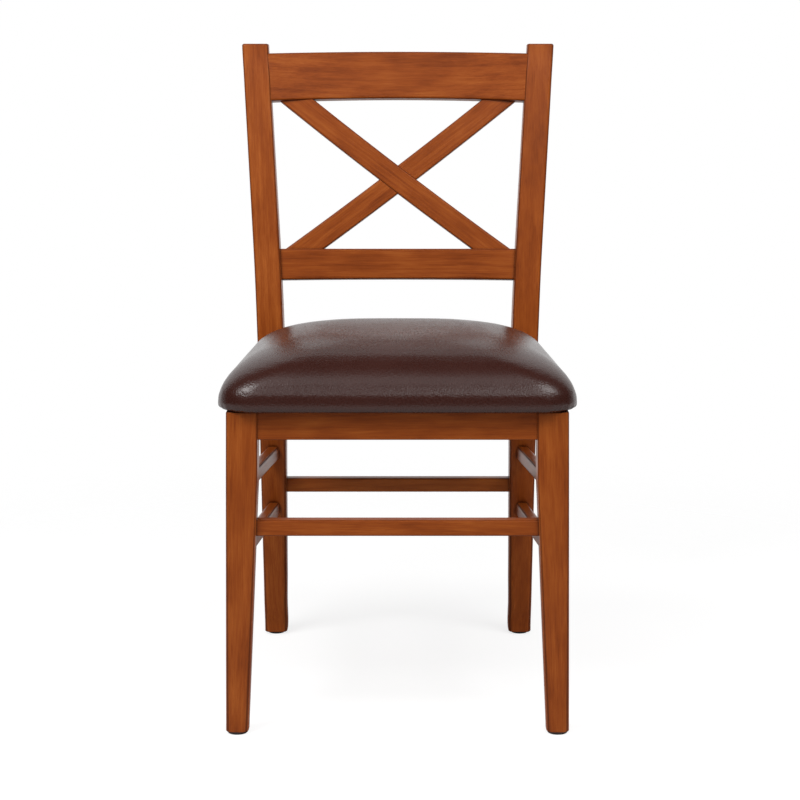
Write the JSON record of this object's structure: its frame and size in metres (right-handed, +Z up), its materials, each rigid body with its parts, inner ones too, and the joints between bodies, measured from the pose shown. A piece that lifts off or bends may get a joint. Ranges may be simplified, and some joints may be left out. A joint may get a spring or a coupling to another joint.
{
  "type": "cross back dining chair",
  "caption": "Wooden dining chair with a crossed-slat open back, padded drop-on seat, tapered legs and stretchers between the legs.",
  "frame": {"origin": "on the floor, at the middle of the chair's footprint rectangle", "axes": "+Z up, +X to the sitter's left across the chair (to the right as seen from the front), -Y towards the front of the seat. Left and right in node names are as seen from the front"},
  "size_m": [0.4564, 0.5144, 0.89],
  "materials": {
    "frame_wood": "satin",
    "block_wood": "matte",
    "board_plywood": "matte",
    "seat_padding": "matte",
    "seat_vinyl": "satin",
    "dust_cloth": "matte",
    "fastener_steel": "satin",
    "glide_nylon": "matte"
  },
  "bodies": {
    "root": {"corner_block_screws": "fastener_steel", "dust_cover": "dust_cloth", "front_apron": "frame_wood", "front_cross_slat": "frame_wood", "front_stretcher": "frame_wood", "glide_nails": "fastener_steel", "left_back_post": "frame_wood", "left_front_corner_block": "block_wood", "left_front_glide": "glide_nylon", "left_front_leg": "frame_wood", "left_lower_side_stretcher": "frame_wood", "left_rear_corner_block": "block_wood", "left_rear_glide": "glide_nylon", "left_side_apron": "frame_wood", "left_upper_side_stretcher": "frame_wood", "lower_back_rail": "frame_wood", "rear_apron": "frame_wood", "rear_cross_slat": "frame_wood", "rear_stretcher": "frame_wood", "right_back_post": "frame_wood", "right_front_corner_block": "block_wood", "right_front_glide": "glide_nylon", "right_front_leg": "frame_wood", "right_lower_side_stretcher": "frame_wood", "right_rear_corner_block": "block_wood", "right_rear_glide": "glide_nylon", "right_side_apron": "frame_wood", "right_upper_side_stretcher": "frame_wood", "seat_board": "board_plywood", "seat_cover": "seat_vinyl", "seat_foam": "seat_padding", "seat_screw_inserts": "fastener_steel", "seat_screw_washers": "fastener_steel", "seat_screws": "fastener_steel", "seat_staples": "fastener_steel", "top_rail": "frame_wood"}
  },
  "joints": []
}
